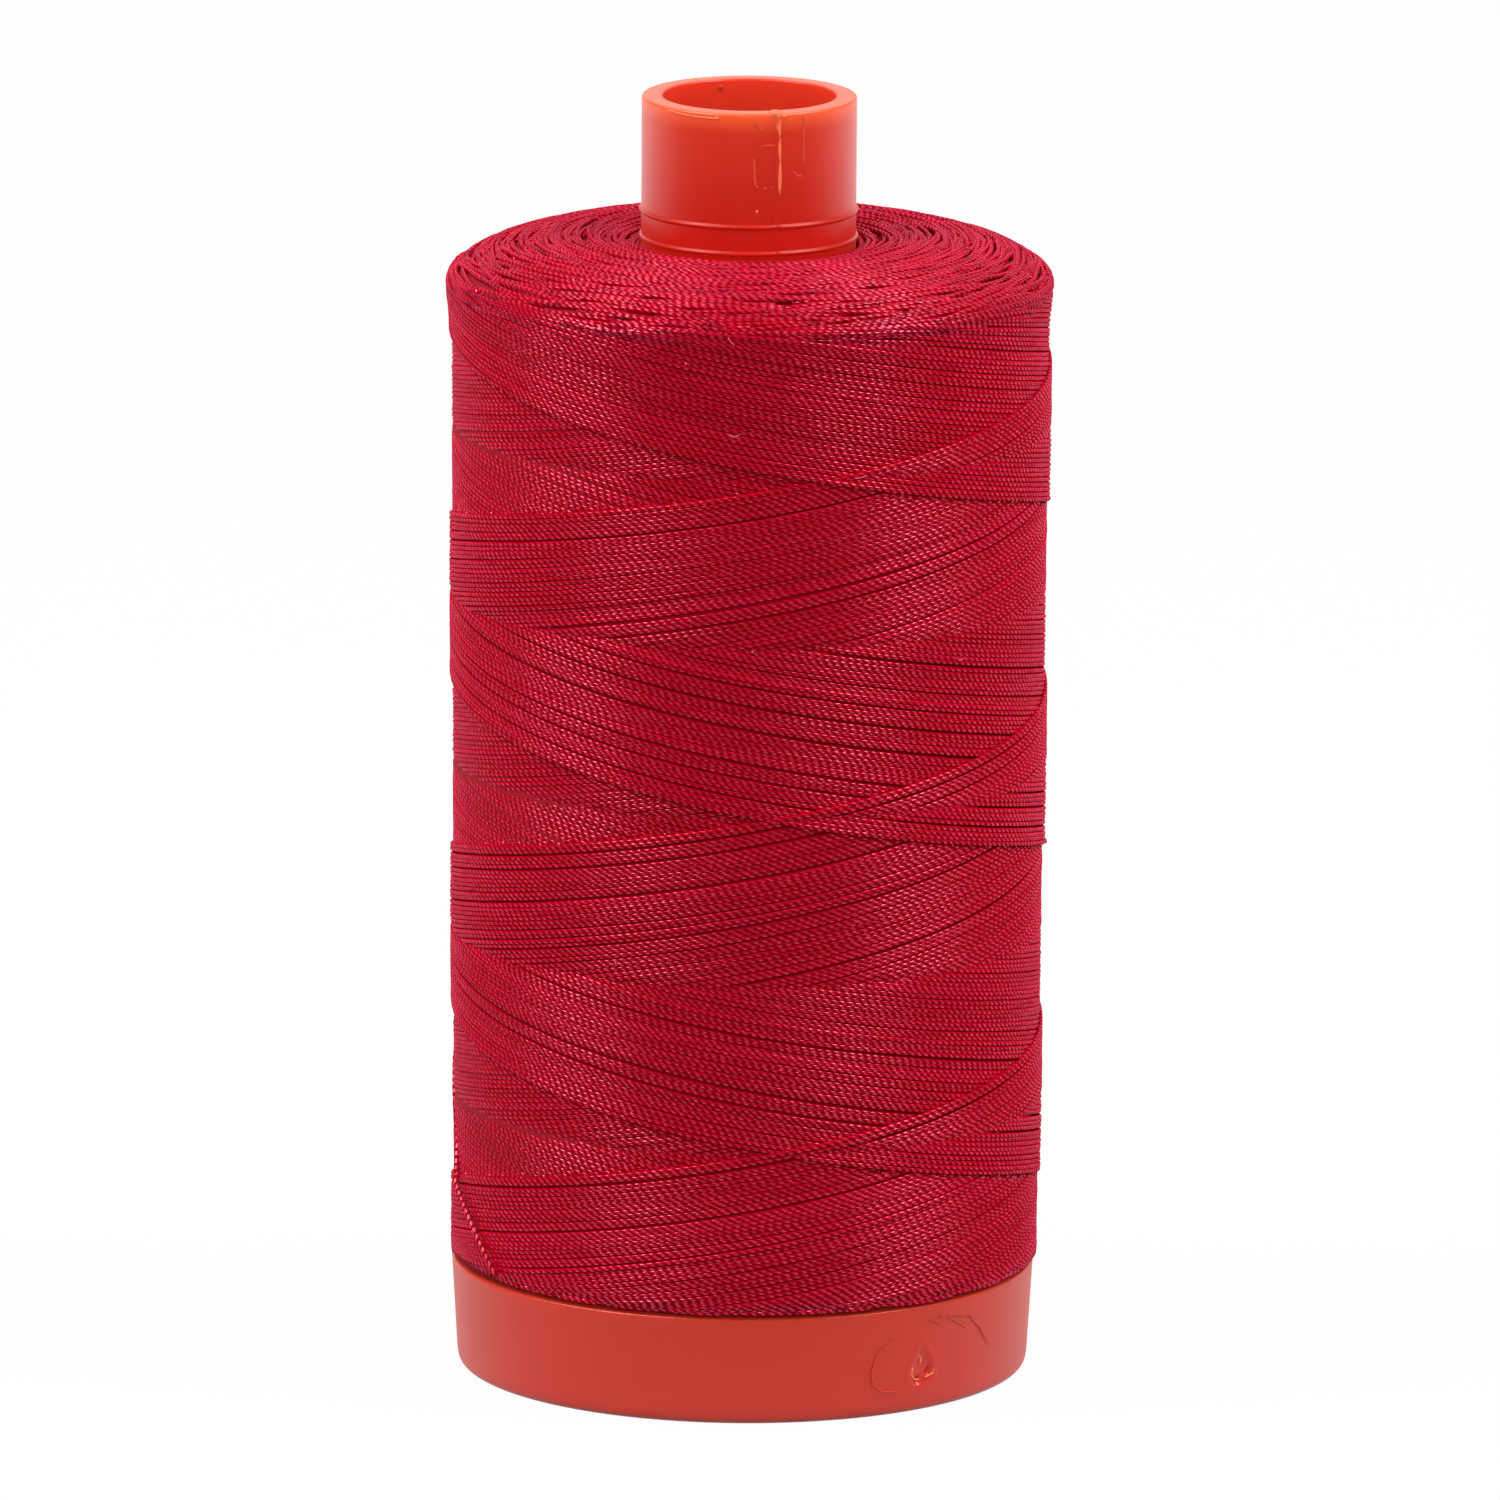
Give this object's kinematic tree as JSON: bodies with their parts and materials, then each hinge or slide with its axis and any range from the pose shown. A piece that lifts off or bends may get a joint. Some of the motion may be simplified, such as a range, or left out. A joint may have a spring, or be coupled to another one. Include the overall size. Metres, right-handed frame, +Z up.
{
  "type": "spool of thread",
  "caption": "Cross-wound cotton sewing thread on a hollow moulded spool, with a pull-off base cup that holds the loose end of the thread.",
  "frame": {"origin": "middle of the face that the spool stands on", "axes": "+Z up along the spool's axis, from the base cup to the open top of the tube; -Y faces the front"},
  "size_m": [0.0359, 0.0358, 0.076],
  "materials": {
    "orange_plastic": "glossy moulded polystyrene, orange-red",
    "crimson_thread": "mercerised cotton, crimson, soft sheen"
  },
  "bodies": {
    "base": {"base_cup": "orange_plastic"},
    "spool": {"spool_core": "orange_plastic", "thread_package": "crimson_thread", "thread_end": "crimson_thread"}
  },
  "joints": [
    {"name": "base_release", "type": "slide", "parent": "base", "child": "spool", "axis": [0, 0, 1], "range_m": [0, 0.012]}
  ]
}
